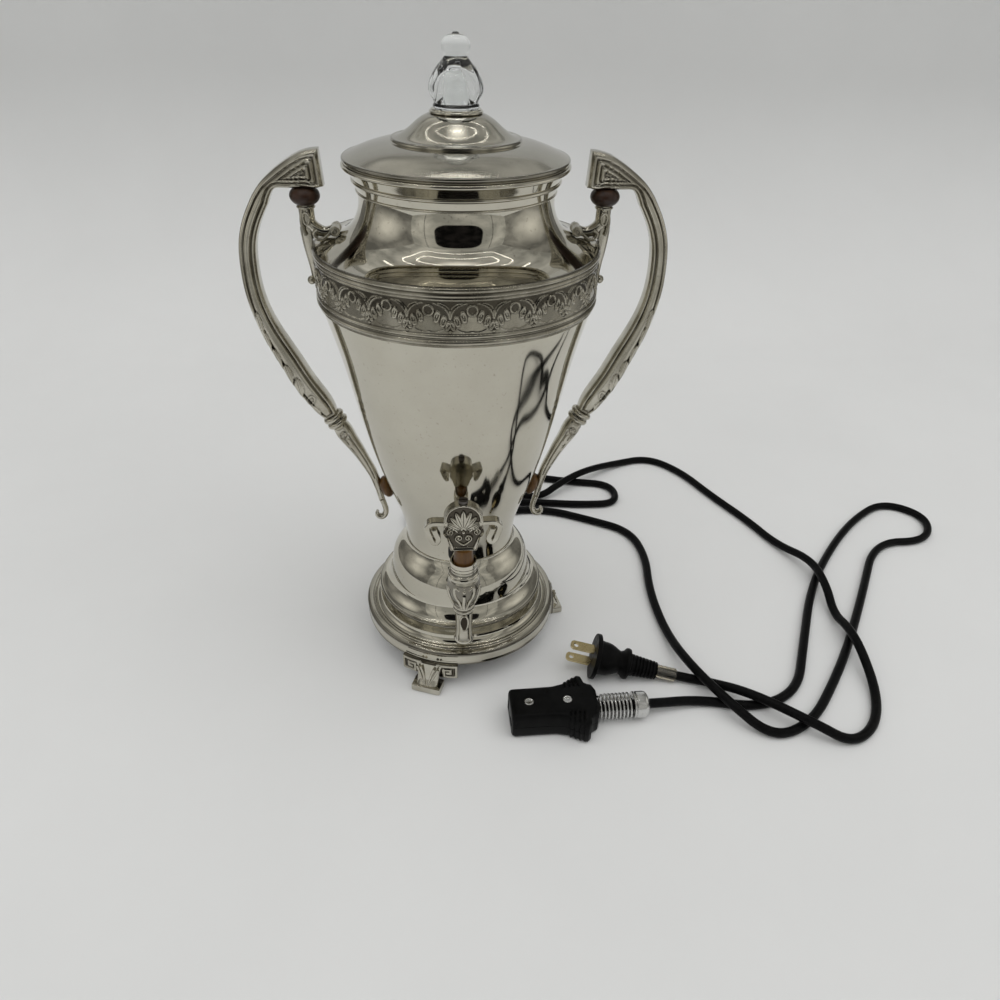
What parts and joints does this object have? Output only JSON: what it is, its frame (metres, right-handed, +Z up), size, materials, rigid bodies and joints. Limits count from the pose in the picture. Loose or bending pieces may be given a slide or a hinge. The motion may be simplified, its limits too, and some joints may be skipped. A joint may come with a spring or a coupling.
{
  "type": "electric coffee percolator urn",
  "caption": "Footed electric coffee urn with a lift-off lid, glass knob, two scrolled handles, a front spigot, an inner pump and basket, and a cord with plugs.",
  "frame": {"origin": "on the urn's axis, level with the soles of its feet", "axes": "+Z up; the spigot faces -Y; the handles lie along X"},
  "size_m": [0.5144, 0.3409, 0.3592],
  "materials": {
    "nickel_plate": "polished nickel",
    "steel": "satin",
    "brass": "bright",
    "aluminium": "spun satin",
    "glass": "clear moulded",
    "stained_wood": "stained, waxed",
    "black_plastic": "moulded",
    "black_rubber": "satin",
    "clear_sleeve": "translucent",
    "lead_sleeving": "woven sleeving"
  },
  "bodies": {
    "base": {"urn_body": "nickel_plate", "mouth_ring": "nickel_plate", "neck_ring": "nickel_plate", "frieze_band": "nickel_plate", "base_collar": "nickel_plate", "pedestal_base": "nickel_plate", "base_plate": "steel", "foot_left": "nickel_plate", "foot_right": "nickel_plate", "foot_rear": "nickel_plate", "foot_nuts": "steel", "handle_left": "nickel_plate", "handle_right": "nickel_plate", "upper_bead_left": "stained_wood", "upper_bead_right": "stained_wood", "lower_bead_left": "stained_wood", "lower_bead_right": "stained_wood", "bracket_left": "nickel_plate", "bracket_right": "nickel_plate", "handle_studs": "steel", "spigot_body": "nickel_plate", "spigot_gasket": "black_rubber", "spigot_nut": "steel", "valve_washer": "brass", "bonnet_ring": "nickel_plate", "heating_element": "steel", "heater_clamp": "steel", "centre_stud": "steel", "clamp_nut": "steel", "thermal_cutout": "steel", "inlet_shroud": "nickel_plate", "terminal_block": "black_plastic", "terminal_pins": "brass", "heater_leads": "lead_sleeving", "appliance_plug_lower": "black_plastic", "appliance_plug_upper": "black_plastic", "plug_contacts": "brass", "plug_screws": "steel", "strain_spring": "steel", "spring_ferrule": "nickel_plate", "mains_plug": "black_plastic", "mains_blades": "brass", "cord_sleeve": "clear_sleeve", "power_cord": "black_rubber"},
    "spigot_handle": {"valve_plug": "brass", "key_insulator": "stained_wood", "spigot_key": "nickel_plate", "key_screw": "steel"},
    "lid": {"lid": "nickel_plate", "lid_skirt": "nickel_plate", "knob_collar": "nickel_plate"},
    "knob": {"glass_knob": "glass"},
    "basket": {"pump_foot": "aluminium", "pump_tube": "aluminium", "coffee_basket": "aluminium", "water_spreader": "aluminium"},
    "disc": {"check_disc": "aluminium"}
  },
  "joints": [
    {"name": "spigot_turn", "type": "hinge", "parent": "base", "child": "spigot_handle", "pos_m": [0, -0.0698, 0.09], "axis": [0, 0, 1], "range_deg": [0, 90]},
    {"name": "lid_lift", "type": "slide", "parent": "base", "child": "lid", "axis": [0, 0, 1], "range_m": [0, 0.4]},
    {"name": "knob_turn", "type": "hinge", "parent": "lid", "child": "knob", "pos_m": [0, 0, 0.33], "axis": [0, 0, 1], "range_deg": [0, 90]},
    {"name": "basket_lift", "type": "slide", "parent": "base", "child": "basket", "axis": [0, 0, 1], "range_m": [0, 0.24]},
    {"name": "disc_lift", "type": "slide", "parent": "basket", "child": "disc", "axis": [0, 0, 1], "range_m": [0, 0.002]}
  ],
  "couplings": [
    {"joint": "basket_lift", "follows": "lid_lift", "ratio": 0.6}
  ]
}
